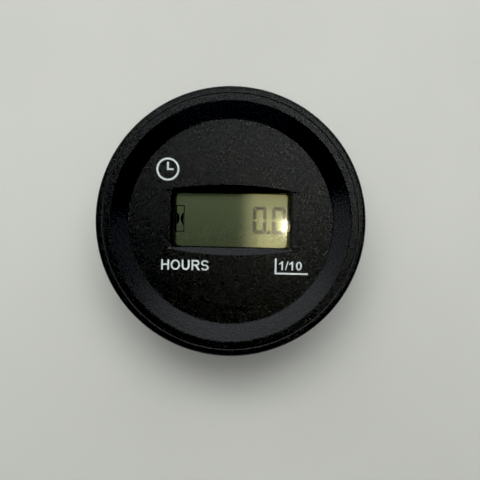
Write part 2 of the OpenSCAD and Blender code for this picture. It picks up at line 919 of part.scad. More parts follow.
// Two axial resistors side by side, with their leads bent to the board
module dropper_resistors() {
    axis_z = board_back_z - resistor_d / 2 - 0.3;
    reach = resistor_l / 2 + lead_reach;
    color("#9a6b3f")
    for (row = [0, 1])
        translate([resistor_x - row * resistor_pitch, -reach - part_gap, 0])
            rotate([0, 0, 90])
                union() {
                    translate([0, 0, axis_z])
                        rotate([0, 90, 0])
                            rotate_extrude($fn = 32)
                                polygon(rounded([
                                    [0, -resistor_l / 2, 0],
                                    [resistor_d / 2, -resistor_l / 2, 0.5],
                                    [resistor_d / 2, resistor_l / 2, 0.5],
                                    [0, resistor_l / 2, 0]
                                ]));
                    translate([-reach, -0.3, axis_z - 0.3])
                        cube([2 * reach, 0.6, 0.6]);
                    for (side = [-1, 1])
                        translate([side * (reach - 0.3), 0, 0])
                            block(0.6, 0.6, axis_z - 0.3, board_back_z);
                }
}

front_cover();
window_lens();
cover_seal();
case();
panel_gasket();
clamp_bracket();
clamp_studs();
spring_washers();
clamp_nuts();
terminal_upper();
terminal_lower();
front_polariser();
front_glass();
rear_glass();
reflector();
display_holder();
contact_strip_upper();
contact_strip_lower();
circuit_board();
board_screws();
lithium_cell();
cell_strip_inner();
cell_strip_outer();
controller_chip();
memory_chip();
timing_crystal();
filter_capacitor();
bridge_rectifier();
surge_varistor();
dropper_resistors();
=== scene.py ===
"""Looks of a round panel hour meter: finishes, legends, display marks, threads, light and camera."""

import math

import bmesh
import bpy
from mathutils import Matrix, Vector


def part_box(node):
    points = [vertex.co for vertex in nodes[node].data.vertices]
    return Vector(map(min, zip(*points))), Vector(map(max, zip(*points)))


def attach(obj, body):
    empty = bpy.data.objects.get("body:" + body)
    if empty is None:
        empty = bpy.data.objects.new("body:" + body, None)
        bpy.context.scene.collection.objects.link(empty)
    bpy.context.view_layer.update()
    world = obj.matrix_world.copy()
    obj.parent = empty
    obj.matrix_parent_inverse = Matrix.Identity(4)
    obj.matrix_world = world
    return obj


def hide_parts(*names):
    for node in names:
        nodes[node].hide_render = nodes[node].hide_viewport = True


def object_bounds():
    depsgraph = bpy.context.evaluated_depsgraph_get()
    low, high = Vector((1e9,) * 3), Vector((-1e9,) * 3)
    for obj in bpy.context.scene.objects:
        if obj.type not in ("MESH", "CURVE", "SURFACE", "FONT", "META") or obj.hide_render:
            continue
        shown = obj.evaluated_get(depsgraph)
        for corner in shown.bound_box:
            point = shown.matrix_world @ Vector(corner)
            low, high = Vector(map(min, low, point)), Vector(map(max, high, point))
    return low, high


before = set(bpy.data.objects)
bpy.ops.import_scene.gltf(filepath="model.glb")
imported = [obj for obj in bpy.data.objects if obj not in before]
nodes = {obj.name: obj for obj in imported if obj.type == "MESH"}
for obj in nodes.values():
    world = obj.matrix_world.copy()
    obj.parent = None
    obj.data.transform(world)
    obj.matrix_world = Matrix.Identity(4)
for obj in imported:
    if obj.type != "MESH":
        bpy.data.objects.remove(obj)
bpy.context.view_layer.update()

MM = 0.001

# Heights of the dial, the display layers and the table, from boxes of the frame
DIAL_DEPTH = 2.6 * MM
RIM_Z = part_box("front_cover")[1].z
DIAL_Z = RIM_Z - DIAL_DEPTH
LENS_BACK_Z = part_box("window_lens")[0].z
DISPLAY_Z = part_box("rear_glass")[1].z
FLOOR_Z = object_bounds()[0][2]

# Middle of the display
WINDOW_Y = (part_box("window_lens")[0].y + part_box("window_lens")[1].y) / 2

# Painted highlights on edges of the mouldings: both sides of the seam, and the sides of the window
SEAM_GAP = 0.05 * MM
SEAM_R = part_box("front_cover")[1].x + SEAM_GAP / 2
SEAM_REACH = 0.18 * MM
SEAM_DEPTH = 0.4 * MM
WINDOW_SIDE_X = 13.25 * MM
WINDOW_SIDE_REACH = 0.3 * MM
WINDOW_SIDE_HALF_H = 7.5 * MM
WINDOW_SIDE_DEPTH = 0.8 * MM
WINDOW_SIDE_HALF_DEPTH = 0.77 * MM

# Constants of shaders: the size of one wave at scale 1, and how a clear sheet's shine grows with the slant
WAVE_SIZE = 0.3142
SLANT_POWER = 5.0

# Printing on the dial
INK_T = 0.03 * MM
HOURS_AT = (-9.7 * MM, -9.69 * MM)
HOURS_SIZE = (10.3 * MM, 2.23 * MM)
TENTHS_AT = (13.18 * MM, -9.4 * MM)
TENTHS_SIZE = (4.95 * MM, 1.9 * MM)

# Bold letters, drawn on a body of one unit
CAP_H = 0.72
STEM = 0.125
CROSS = 0.108
BEND_STEPS = 20

# Other marks on the dial
RULE_CORNER = (9.78 * MM, -11.3 * MM)
RULE_LENGTH = 7.2 * MM
RULE_HEIGHT = 3.45 * MM
RULE_W = 0.37 * MM
CLOCK_AT = (-13.87 * MM, 11.0 * MM)
CLOCK_R = 2.5 * MM
CLOCK_LINE = 0.42 * MM
CLOCK_STEPS = 48
LONG_HAND = 0.62 * CLOCK_R
SHORT_HAND = 0.5 * CLOCK_R

# Dark border printed on the back of the lens. Its opening sits off the middle towards the right, so the
# wider left strip of print is also a painted shadow of the window's left wall
BORDER_OPENING = (24.65 * MM, 12.0 * MM)
# Painted shadow: the opening is moved right, which widens the dark print on the left.
BORDER_OPENING_AT = (0.175 * MM, WINDOW_Y + 0.19 * MM)
BORDER_OPENING_R = 0.95 * MM
BORDER_CORNER_STEPS = 6
BORDER_MARGIN = 0.15 * MM
BORDER_T = 0.03 * MM

# Display marks
MARK_T = 0.02 * MM
DIGIT_W = 3.05 * MM
DIGIT_H = 6.05 * MM
DIGIT_PITCH = 4.26 * MM
DIGIT_Y = 0.4 * MM
UNITS_X = 6.36 * MM
SEGMENT_W = 0.82 * MM
SEGMENT_GAP = 0.05 * MM
SEGMENT_CUT = 0.14 * MM
MIDDLE_GAP = 0.18 * MM
MIRROR_WELD = 0.001 * MM
POINT_AT = (8.4 * MM, -2.25 * MM)
POINT_SIZE = (0.64 * MM, 0.7 * MM)
HOURGLASS_AT = (-11.26 * MM, 0.46 * MM)
HOURGLASS_SIZE = (1.9 * MM, 5.9 * MM)
HOURGLASS_LINE = 0.25 * MM
SAND_CHORD = 2.8 * MM
SAND_DEPTH = 0.57 * MM
SAND_STEPS = 72
BAR_SHADES = ((0.002, 0.004, 0.005), (0.004, 0.007, 0.008))
SIGN_SHADES = ((0.003, 0.005, 0.01), (0.005, 0.008, 0.016))
BAR_GLOSS = (0.72, 0.7, 1.0)
SIGN_GLOSS = (0.8, 1.0, 1.0)

# Thread of the clamp studs
STUD_R = 2.0 * MM
STUD_CORE_R = 1.6 * MM
STUD_HEAD_R = 3.5 * MM
STUD_HEAD_T = 1.6 * MM
STUD_TIP = 0.5 * MM
STUD_TIP_TAPER = 0.2 * MM
STUD_STEPS = 36
STUD_WELD = 0.002 * MM
THREAD_PITCH = 0.7 * MM
THREAD_CREST = (0.38, 0.62)
THREAD_STEPS = 28
THREAD_IN_CASE = 0.6 * MM

# Camera over the dial
CAMERA_AT = (2.11 * MM, -4.03 * MM, RIM_Z + 200 * MM)
CAMERA_TURN = math.radians(1.3)
CAMERA_LENS = 70.07
CAMERA_SENSOR = 36
CAMERA_NEAR = 10 * MM
BLACK_POINT = (0.0162, 0.0162, 0.0156)

# Table and light
FLOOR_HALF = 1.65
WHITE = (1.0, 1.0, 0.965)
DAYLIGHT = (0.95, 1.0, 1.02)
AMBER = (1.0, 0.93, 0.48)
HONEY = (1.0, 0.84, 0.34)
GOLD = (1.0, 0.9, 0.55)
TENT_COLOUR = (0.95, 0.96, 0.93, 1)
TENT_STRENGTH = 0.11
BACKDROP_COLOUR = (0.6, 0.605, 0.58, 1)
PANEL_STEPS = 4
PANEL_RIGHT = 34.6
SPOT_AT = (0.0328, 0.0053)
OUTER_TABLE = 1.1
OUTER_BEAM = math.radians(80)


class Finish:
    """One material with its shader and short ways to lay patterns on it in the object's own space."""

    def __init__(self, name, **sockets):
        self.material = bpy.data.materials.new(name)
        self.material.use_nodes = True
        self.tree = self.material.node_tree
        self.shader = self.tree.nodes["Principled BSDF"]
        self.place = self.tree.nodes.new("ShaderNodeTexCoord").outputs["Object"]
        self.axes = self.tree.nodes.new("ShaderNodeSeparateXYZ")
        self.link(self.place, self.axes.inputs["Vector"])
        for socket, value in sockets.items():
            self.shader.inputs[socket.replace("_", " ")].default_value = value

    def link(self, source, target):
        self.tree.links.new(source, target)

    def stretched(self, scale):
        mapping = self.tree.nodes.new("ShaderNodeMapping")
        mapping.inputs["Scale"].default_value = scale
        self.link(self.place, mapping.inputs["Vector"])
        return mapping.outputs["Vector"]

    def noise(self, size, detail=2.0, place=None):
        texture = self.tree.nodes.new("ShaderNodeTexNoise")
        texture.inputs["Scale"].default_value = 1 / size
        texture.inputs["Detail"].default_value = detail
        self.link(place or self.place, texture.inputs["Vector"])
        return texture.outputs["Fac"]

    def cells(self, size):
        texture = self.tree.nodes.new("ShaderNodeTexVoronoi")
        texture.inputs["Scale"].default_value = 1 / size
        self.link(self.place, texture.inputs["Vector"])
        return texture.outputs["Distance"]

    def bands(self, size, direction):
        texture = self.tree.nodes.new("ShaderNodeTexWave")
        texture.bands_direction = direction
        texture.inputs["Scale"].default_value = WAVE_SIZE / size
        self.link(self.place, texture.inputs["Vector"])
        return texture.outputs["Fac"]

    def axis(self, letter):
        return self.axes.outputs[letter]

    def calc(self, operation, first, *others):
        """One step of arithmetic on a value and on numbers or other values."""
        step = self.tree.nodes.new("ShaderNodeMath")
        step.operation = operation
        self.link(first, step.inputs[0])
        for socket, other in zip(step.inputs[1:], others):
            if isinstance(other, float):
                socket.default_value = other
            else:
                self.link(other, socket)
        return step.outputs["Value"]

    def spread(self, pattern, low, high, start=0.3, end=0.7):
        spread = self.tree.nodes.new("ShaderNodeMapRange")
        spread.inputs["From Min"].default_value = start
        spread.inputs["From Max"].default_value = end
        spread.inputs["To Min"].default_value = low
        spread.inputs["To Max"].default_value = high
        self.link(pattern, spread.inputs["Value"])
        return spread.outputs["Result"]

    def shades(self, pattern, dark, light, start=0.3, end=0.7):
        ramp = self.tree.nodes.new("ShaderNodeValToRGB")
        ramp.color_ramp.elements[0].position = start
        ramp.color_ramp.elements[0].color = (*dark, 1)
        ramp.color_ramp.elements[1].position = end
        ramp.color_ramp.elements[1].color = (*light, 1)
        self.link(pattern, ramp.inputs["Fac"])
        return ramp.outputs["Color"]

    def tint(self, pattern, dark, light, start=0.3, end=0.7):
        self.link(self.shades(pattern, dark, light, start, end), self.shader.inputs["Base Color"])

    def paint_highlight(self, where, colour):
        """Lays a paler colour over the tint in some places, as a painted highlight."""
        base = self.shader.inputs["Base Color"]
        mix = self.tree.nodes.new("ShaderNodeMixRGB")
        self.link(where, mix.inputs["Fac"])
        self.link(base.links[0].from_socket, mix.inputs["Color1"])
        mix.inputs["Color2"].default_value = (*colour, 1)
        self.link(mix.outputs["Color"], base)

    def rough(self, pattern, low, high):
        self.link(self.spread(pattern, low, high), self.shader.inputs["Roughness"])

    def relief(self, pattern, depth, strength=1.0, under=None):
        bump = self.tree.nodes.new("ShaderNodeBump")
        bump.inputs["Distance"].default_value = depth
        bump.inputs["Strength"].default_value = strength
        self.link(pattern, bump.inputs["Height"])
        if under:
            self.link(under, bump.inputs["Normal"])
        self.link(bump.outputs["Normal"], self.shader.inputs["Normal"])
        return bump.outputs["Normal"]


def black_plastic():
    """Moulded black plastic with a spark-eroded grain that glints in fine points, and painted highlights on
    its edges.
    """
    plastic = Finish("black moulded plastic")
    plastic.tint(plastic.noise(0.5 * MM, 3), (0.004, 0.004, 0.0044), (0.006, 0.006, 0.0063))
    x_square = plastic.calc("POWER", plastic.axis("X"), 2.0)
    y_square = plastic.calc("POWER", plastic.axis("Y"), 2.0)
    from_axis = plastic.calc("POWER", plastic.calc("ADD", x_square, y_square), 0.5)
    round_seam = plastic.calc("COMPARE", from_axis, SEAM_R, SEAM_REACH)
    near_rim = plastic.calc("COMPARE", plastic.axis("Z"), RIM_Z, SEAM_DEPTH)
    seam = plastic.calc("MULTIPLY", round_seam, near_rim)
    from_middle = plastic.calc("ABSOLUTE", plastic.axis("X"))
    beside = plastic.calc("COMPARE", from_middle, WINDOW_SIDE_X, WINDOW_SIDE_REACH)
    level = plastic.calc("COMPARE", plastic.axis("Y"), WINDOW_Y, WINDOW_SIDE_HALF_H)
    sunk = plastic.calc("COMPARE", plastic.axis("Z"), DIAL_Z - WINDOW_SIDE_DEPTH, WINDOW_SIDE_HALF_DEPTH)
    sides = plastic.calc("MULTIPLY", beside, plastic.calc("MULTIPLY", level, sunk))
    # Painted highlight: a paler colour on both sides of the seam and on the sides of the window.
    plastic.paint_highlight(plastic.calc("MAXIMUM", seam, sides), (0.034, 0.034, 0.035))
    plastic.rough(plastic.noise(0.4 * MM), 0.24, 0.34)
    coarse = plastic.relief(plastic.noise(0.5 * MM, 2), 0.06 * MM, 0.6)
    plastic.relief(plastic.noise(0.25 * MM, 2), 0.03 * MM, 0.6, coarse)
    return plastic.material


def sheet_rubber():
    """Closed-cell sheet for the panel gasket."""
    rubber = Finish("closed-cell sheet", Roughness=0.85)
    rubber.tint(rubber.noise(0.6 * MM, 4), (0.012, 0.012, 0.012), (0.03, 0.03, 0.031))
    rubber.relief(rubber.cells(0.3 * MM), 0.03 * MM, 0.6)
    return rubber.material


def soft_rubber(name, dark, light):
    """Smooth rubber with a faint bloom."""
    rubber = Finish(name)
    rubber.tint(rubber.noise(1.5 * MM, 4), dark, light)
    rubber.rough(rubber.noise(0.8 * MM), 0.5, 0.7)
    return rubber.material


def plated_steel(name, dark, light, along):
    """Bright plated steel with a drawn grain along one direction and soft stains."""
    steel = Finish(name, Metallic=1.0)
    grain = steel.noise(0.12 * MM, 3, steel.stretched(along))
    steel.tint(steel.noise(4 * MM, 4), dark, light)
    steel.rough(steel.noise(1.2 * MM, 3), 0.26, 0.42)
    steel.relief(grain, 0.006 * MM, 0.5)
    return steel.material


def tinned_brass():
    """Dull tin over brass, with the colour of the brass showing through in places."""
    tin = Finish("tinned brass", Metallic=1.0)
    tin.tint(tin.noise(2.5 * MM, 5), (0.56, 0.5, 0.36), (0.72, 0.7, 0.64))
    tin.rough(tin.noise(0.7 * MM, 3), 0.28, 0.45)
    tin.relief(tin.noise(0.15 * MM, 2, tin.stretched((1, 1, 0.1))), 0.005 * MM, 0.5)
    return tin.material


def clear(name, colour, roughness, shine):
    """Clear sheet that lets light straight through and reflects a share of it, more of it at a slant."""
    sheet = Finish(name)
    tree = sheet.tree
    through = tree.nodes.new("ShaderNodeBsdfTransparent")
    through.inputs["Color"].default_value = (*colour, 1)
    gloss = tree.nodes.new("ShaderNodeBsdfGlossy")
    haze = sheet.noise(3 * MM, 3)
    sheet.link(sheet.spread(haze, roughness * 0.8, roughness * 1.2), gloss.inputs["Roughness"])
    slant = tree.nodes.new("ShaderNodeLayerWeight")
    steep = sheet.calc("POWER", slant.outputs["Facing"], SLANT_POWER)
    mix = tree.nodes.new("ShaderNodeMixShader")
    sheet.link(sheet.spread(steep, shine, 1.0, 0.0, 1.0), mix.inputs["Fac"])
    sheet.link(through.outputs["BSDF"], mix.inputs[1])
    sheet.link(gloss.outputs["BSDF"], mix.inputs[2])
    sheet.link(mix.outputs["Shader"], tree.nodes["Material Output"].inputs["Surface"])
    tree.nodes.remove(sheet.shader)
    return sheet.material


def satin_display():
    """Grey-green face of the display: a dull ground with a glassy, finely grained gloss; the ground is
    darker towards the bottom and lighter towards the top, as painted shade.
    """
    face = Finish("satin display", IOR=2.3)
    # Painted shade: the ground's colour runs from darker at the bottom of the display to lighter at the
    # top.
    height = face.spread(face.axis("Y"), 0.36, 0.64, -6 * MM, 6 * MM)
    shade = face.calc("ADD", height, face.spread(face.noise(0.4 * MM, 2), -0.06, 0.06))
    face.tint(shade, (0.0465, 0.057, 0.0305), (0.1, 0.12, 0.0665))
    face.rough(face.noise(0.25 * MM), 0.04, 0.07)
    face.relief(face.noise(0.25 * MM, 2), 0.003 * MM, 0.15)
    return face.material


def moulding(name, dark, light):
    """Plain moulded plastic with slight flow marks."""
    plastic = Finish(name)
    plastic.tint(plastic.noise(5 * MM, 4), dark, light)
    plastic.rough(plastic.noise(0.8 * MM), 0.42, 0.6)
    plastic.relief(plastic.noise(0.4 * MM, 3), 0.01 * MM, 0.3)
    return plastic.material


def contact_rubber():
    """Silicone strip with its thin conducting layers across it."""
    rubber = Finish("layered contact rubber", Roughness=0.6)
    rubber.tint(rubber.bands(0.18 * MM, "X"), (0.05, 0.05, 0.05), (0.62, 0.58, 0.5), 0.45, 0.55)
    return rubber.material


def board_resist():
    """Green solder resist over woven glass."""
    resist = Finish("green solder resist", Roughness=0.3)
    resist.tint(resist.noise(2 * MM, 4), (0.012, 0.1, 0.035), (0.02, 0.16, 0.06))
    resist.relief(resist.cells(0.45 * MM), 0.01 * MM, 0.3)
    return resist.material


def white_ink():
    """Slightly uneven white print that follows the grain below it."""
    ink = Finish("white print", Roughness=0.55)
    ink.tint(ink.noise(0.5 * MM, 3), (0.5, 0.56, 0.57), (0.72, 0.77, 0.78))
    ink.relief(ink.noise(0.3 * MM, 3), 0.015 * MM, 0.4)
    return ink.material


def black_ink():
    """Matt black print on the back of the lens."""
    ink = Finish("black border print", Roughness=0.6, Specular_IOR_Level=0.0)
    ink.tint(ink.noise(0.6 * MM, 3), (0.02, 0.02, 0.02), (0.027, 0.027, 0.0275))
    return ink.material


def display_dark(name, ior, gloss_tint, dark, light):
    """Switched-on area of the display: almost black under a tinted gloss."""
    crystal = Finish(name, Roughness=0.06, IOR=ior, Specular_Tint=(*gloss_tint, 1))
    crystal.tint(crystal.noise(0.5 * MM, 2), dark, light)
    return crystal.material


steel = plated_steel("zinc-plated steel", (0.5, 0.5, 0.49), (0.68, 0.68, 0.66), (1, 0.08, 1))
FINISHES = {
    "front_cover": black_plastic(),
    "window_lens": clear("clear acrylic", (0.98, 0.985, 0.975), 0.03, 0.012),
    "cover_seal": soft_rubber("black nitrile", (0.01, 0.01, 0.01), (0.025, 0.025, 0.025)),
    "panel_gasket": sheet_rubber(),
    "clamp_bracket": steel,
    "clamp_studs": steel,
    "clamp_nuts": steel,
    "spring_washers": plated_steel("spring steel", (0.34, 0.34, 0.35), (0.5, 0.5, 0.5), (1, 1, 0.1)),
    "terminal_upper": tinned_brass(),
    "front_polariser": clear("polarising film", (0.8, 0.84, 0.7), 0.2, 0.04),
    "front_glass": clear("display glass", (0.96, 0.98, 0.96), 0.03, 0.04),
    "reflector": satin_display(),
    "display_holder": moulding("natural white plastic", (0.62, 0.62, 0.57), (0.74, 0.74, 0.7)),
    "contact_strip_upper": contact_rubber(),
    "circuit_board": board_resist(),
    "board_screws": plated_steel("screw steel", (0.5, 0.5, 0.5), (0.66, 0.66, 0.66), (1, 1, 1)),
    "lithium_cell": plated_steel("nickel-plated steel", (0.6, 0.6, 0.58), (0.7, 0.7, 0.68), (1, 1, 1)),
    "controller_chip": moulding("black epoxy", (0.012, 0.012, 0.013), (0.02, 0.02, 0.022)),
    "filter_capacitor": moulding("dark sleeve", (0.02, 0.022, 0.03), (0.035, 0.038, 0.05)),
    "surge_varistor": moulding("blue epoxy", (0.015, 0.05, 0.24), (0.02, 0.08, 0.32)),
    "dropper_resistors": moulding("tan lacquer", (0.3, 0.16, 0.07), (0.4, 0.23, 0.11)),
}
SAME_FINISH = {
    "case": "front_cover",
    "terminal_lower": "terminal_upper",
    "rear_glass": "front_glass",
    "contact_strip_lower": "contact_strip_upper",
    "cell_strip_inner": "lithium_cell",
    "cell_strip_outer": "lithium_cell",
    "timing_crystal": "lithium_cell",
    "memory_chip": "controller_chip",
    "bridge_rectifier": "controller_chip",
}
for name, node in nodes.items():
    node.data.materials.clear()
    node.data.materials.append(FINISHES[SAME_FINISH.get(name, name)])


def piece(name, shape, material):
    """Makes an object of a finished bmesh that rides with the meter."""
    bmesh.ops.recalc_face_normals(shape, faces=shape.faces)
    mesh = bpy.data.meshes.new(name)
    shape.to_mesh(mesh)
    shape.free()
    mesh.materials.append(material)
    made = bpy.data.objects.new(name, mesh)
    bpy.context.scene.collection.objects.link(made)
    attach(made, "root")
    return made


def thicken(shape, base_z, thickness):
    """Turns the flat faces of a bmesh into a layer of that thickness standing on height base_z."""
    grown = bmesh.ops.extrude_face_region(shape, geom=shape.faces[:])
    top = [part for part in grown["geom"] if isinstance(part, bmesh.types.BMVert)]
    bmesh.ops.translate(shape, verts=shape.verts, vec=(0, 0, base_z))
    bmesh.ops.translate(shape, verts=top, vec=(0, 0, thickness))


def raise_face(shape, face, height):
    """Extrudes one face upwards and returns the new one."""
    grown = bmesh.ops.extrude_face_region(shape, geom=[face], use_keep_orig=True)
    top = [part for part in grown["geom"] if isinstance(part, bmesh.types.BMFace)][0]
    bmesh.ops.translate(shape, verts=top.verts[:], vec=(0, 0, height))
    return top


def outline(shape, points):
    """One flat face through a few points."""
    return shape.faces.new([shape.verts.new((x, y, 0)) for x, y in points])


def bar(shape, x0, y0, x1, y1):
    return outline(shape, [(x0, y0), (x1, y0), (x1, y1), (x0, y1)])


def bent(shape, centre, radii, line, start, turn):
    """A stroke bent along part of an oval, from a start angle through a turn in degrees."""
    before = set(shape.verts)
    ends = [shape.verts.new((radius, 0, 0)) for radius in (1, 1 - line / radii[0])]
    edge = shape.edges.new(ends)
    bmesh.ops.rotate(shape, verts=ends, matrix=Matrix.Rotation(math.radians(start), 3, "Z"))
    bmesh.ops.spin(shape, geom=[*ends, edge], axis=(0, 0, 1), angle=math.radians(turn), steps=BEND_STEPS)
    made = [vert for vert in shape.verts if vert not in before]
    bmesh.ops.scale(shape, verts=made, vec=(*radii, 1))
    bmesh.ops.translate(shape, verts=made, vec=(*centre, 0))


def oval(shape, x, wide):
    """A closed round letter or figure."""
    loops = []
    for less_x, less_y in ((0, 0), (STEM, CROSS)):
        rim = bmesh.ops.create_circle(shape, radius=1, segments=2 * BEND_STEPS)["verts"]
        bmesh.ops.scale(shape, verts=rim, vec=(wide / 2 - less_x, CAP_H / 2 - less_y, 1))
        bmesh.ops.translate(shape, verts=rim, vec=(x + wide / 2, CAP_H / 2, 0))
        loops += {edge for vert in rim for edge in vert.link_edges}
    bmesh.ops.bridge_loops(shape, edges=loops)


def letter_h(shape, x):
    wide = 0.576
    bar(shape, x, 0, x + STEM, CAP_H)
    bar(shape, x + wide - STEM, 0, x + wide, CAP_H)
    bar(shape, x + STEM, (CAP_H - CROSS) / 2 + 0.02, x + wide - STEM, (CAP_H + CROSS) / 2 + 0.02)


def letter_o(shape, x):
    oval(shape, x, 0.69)


def letter_u(shape, x):
    wide = 0.577
    bar(shape, x, wide / 2, x + STEM, CAP_H)
    bar(shape, x + wide - STEM, wide / 2, x + wide, CAP_H)
    bent(shape, (x + wide / 2, wide / 2), (wide / 2, wide / 2), STEM, 180, 180)


def letter_r(shape, x):
    bowl = 0.21
    belly = x + 0.36
    bar(shape, x, 0, x + STEM, CAP_H)
    bar(shape, x + STEM, CAP_H - CROSS, belly, CAP_H)
    bar(shape, x + STEM, CAP_H - 2 * bowl, belly, CAP_H - 2 * bowl + CROSS)
    bent(shape, (belly, CAP_H - bowl), (bowl, bowl), CROSS, -90, 180)
    hip = CAP_H - 2 * bowl
    outline(shape, [(x + 0.27, hip), (x + 0.47, 0), (x + 0.64, 0), (x + 0.43, hip)])


def letter_s(shape, x):
    wide = 0.56
    bowl = (CAP_H + CROSS) / 4
    bent(shape, (x + wide / 2, CAP_H - bowl), (wide / 2, bowl), STEM, 15, 255)
    bent(shape, (x + wide / 2, bowl), (wide / 2, bowl), STEM, 90, -255)


def figure_one(shape, x):
    """A one with a curved flag."""
    outline(shape, [
        (x + 0.31, 0),
        (x + 0.31, CAP_H),
        (x + 0.205, CAP_H),
        (x + 0.13, 0.62),
        (x, 0.545),
        (x, 0.435),
        (x + 0.1, 0.475),
        (x + 0.192, 0.535),
        (x + 0.192, 0),
    ])


def slash(shape, x):
    outline(shape, [(x, 0), (x + 0.085, 0), (x + 0.268, CAP_H), (x + 0.183, CAP_H)])


def figure_nought(shape, x):
    oval(shape, x, 0.476)


def legend(name, letters, at, size):
    """Printed signs in a row, fitted to a width and height round a point of the dial."""
    shape = bmesh.new()
    for draw, x in letters:
        draw(shape, x)
    wide = max(vert.co.x for vert in shape.verts)
    bmesh.ops.translate(shape, verts=shape.verts, vec=(-wide / 2, -CAP_H / 2, 0))
    bmesh.ops.scale(shape, verts=shape.verts, vec=(size[0] / wide, size[1] / CAP_H, 1))
    bmesh.ops.translate(shape, verts=shape.verts, vec=(*at, 0))
    thicken(shape, DIAL_Z, INK_T)
    return piece(name, shape, ink)


def tenths_rule():
    """The angled rule beside the words for tenths."""
    shape = bmesh.new()
    x, y = RULE_CORNER
    outline(shape, [
        (x, y),
        (x + RULE_LENGTH, y),
        (x + RULE_LENGTH, y + RULE_W),
        (x + RULE_W, y + RULE_W),
        (x + RULE_W, y + RULE_HEIGHT),
        (x, y + RULE_HEIGHT),
    ])
    thicken(shape, DIAL_Z, INK_T)
    return piece("tenths_rule", shape, ink)


def clock_mark():
    """A plain clock sign: a ring with two hands."""
    shape = bmesh.new()
    bmesh.ops.create_circle(shape, cap_ends=True, radius=CLOCK_R, segments=CLOCK_STEPS)
    bmesh.ops.inset_individual(shape, faces=shape.faces[:], thickness=CLOCK_LINE)
    inner = max(shape.faces, key=lambda face: len(face.verts))
    bmesh.ops.delete(shape, geom=[inner], context="FACES_ONLY")
    half = CLOCK_LINE / 2
    bar(shape, -half, -half, half, LONG_HAND)
    bar(shape, half, -half, SHORT_HAND, half)
    bmesh.ops.translate(shape, verts=shape.verts, vec=(*CLOCK_AT, 0))
    thicken(shape, DIAL_Z, INK_T)
    return piece("clock_mark", shape, ink)


def display_block():
    """The display below its crystal layer, where the marks stand. The film and the front glass above it
    are too clear to show."""
    low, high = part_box("rear_glass")
    shape = bmesh.new()
    foot = bar(shape, low.x, low.y, high.x, high.y)
    bmesh.ops.translate(shape, verts=foot.verts[:], vec=(0, 0, low.z))
    raise_face(shape, foot, high.z - low.z)
    made = piece("display_block", shape, FINISHES["reflector"])
    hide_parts("front_polariser", "front_glass", "rear_glass")
    return made


def rounded_loop(shape, size, radius, middle):
    """The edges of a rectangle with rounded corners."""
    half_x = size[0] / 2
    half_y = size[1] / 2
    face = bar(shape, middle[0] - half_x, middle[1] - half_y, middle[0] + half_x, middle[1] + half_y)
    bmesh.ops.bevel(shape, geom=face.verts[:], offset=radius, segments=BORDER_CORNER_STEPS, profile=0.5,
                    affect="VERTICES", material=-1)
    bmesh.ops.delete(shape, geom=shape.faces[:], context="FACES_ONLY")


def lens_border():
    """The dark frame printed on the back of the lens; its wider left strip is also a painted shadow."""
    low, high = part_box("window_lens")
    outside = (high.x - low.x - 2 * BORDER_MARGIN, high.y - low.y - 2 * BORDER_MARGIN)
    shape = bmesh.new()
    rounded_loop(shape, BORDER_OPENING, BORDER_OPENING_R, BORDER_OPENING_AT)
    rounded_loop(shape, outside, BORDER_OPENING_R, (0, WINDOW_Y))
    bmesh.ops.bridge_loops(shape, edges=shape.edges[:])
    thicken(shape, LENS_BACK_Z + BORDER_T / 2, BORDER_T)
    return piece("lens_border", shape, black_ink())


def zero(name, x):
    """A nought of six bars with mitred corners: one quarter is drawn and mirrored both ways."""
    shape = bmesh.new()
    right = DIGIT_W / 2
    top = DIGIT_H / 2
    outer = SEGMENT_CUT + SEGMENT_GAP
    inner = SEGMENT_W + SEGMENT_GAP
    outline(shape, [(0, top), (right - outer, top), (right - inner, top - SEGMENT_W), (0, top - SEGMENT_W)])
    outline(shape, [
        (right, top - outer),
        (right, MIDDLE_GAP),
        (right - SEGMENT_W, 2 * MIDDLE_GAP),
        (right - SEGMENT_W, top - inner),
    ])
    for axis in "XY":
        drawn = [*shape.verts, *shape.edges, *shape.faces]
        bmesh.ops.mirror(shape, geom=drawn, axis=axis, merge_dist=MIRROR_WELD)
    bmesh.ops.translate(shape, verts=shape.verts, vec=(x, DIGIT_Y, 0))
    thicken(shape, DISPLAY_Z - MARK_T / 2, MARK_T)
    return piece(name, shape, dark_bars)


def decimal_point():
    shape = bmesh.new()
    x, y = POINT_AT
    wide, tall = POINT_SIZE
    bar(shape, x - wide / 2, y - tall / 2, x + wide / 2, y + tall / 2)
    thicken(shape, DISPLAY_Z - MARK_T / 2, MARK_T)
    return piece("display_point", shape, dark_point)


def hourglass():
    """The running sign: a thin frame with two dark bulges that leave an hourglass between them."""
    shape = bmesh.new()
    wide, tall = HOURGLASS_SIZE
    pane = bar(shape, -wide / 2, -tall / 2, wide / 2, tall / 2)
    pane.normal_update()
    bmesh.ops.inset_individual(shape, faces=[pane], thickness=HOURGLASS_LINE)
    bmesh.ops.delete(shape, geom=[pane], context="FACES_ONLY")
    radius = (SAND_CHORD ** 2 / 4 + SAND_DEPTH ** 2) / (2 * SAND_DEPTH)
    chord_x = wide / 2 - HOURGLASS_LINE
    for side in (-1, 1):
        middle = side * (chord_x + radius - SAND_DEPTH)
        disc = bmesh.ops.create_circle(shape, cap_ends=True, radius=radius, segments=SAND_STEPS,
                                       matrix=Matrix.Translation((middle, 0, 0)))
        rim = disc["verts"]
        faces = {face for vert in rim for face in vert.link_faces}
        edges = {edge for vert in rim for edge in vert.link_edges}
        bmesh.ops.bisect_plane(shape, geom=[*rim, *edges, *faces], plane_co=(side * chord_x, 0, 0),
                               plane_no=(side, 0, 0), clear_outer=True)
    bmesh.ops.translate(shape, verts=shape.verts, vec=(*HOURGLASS_AT, 0))
    thicken(shape, DISPLAY_Z - MARK_T / 2, MARK_T)
    return piece("display_hourglass", shape, dark_sign)


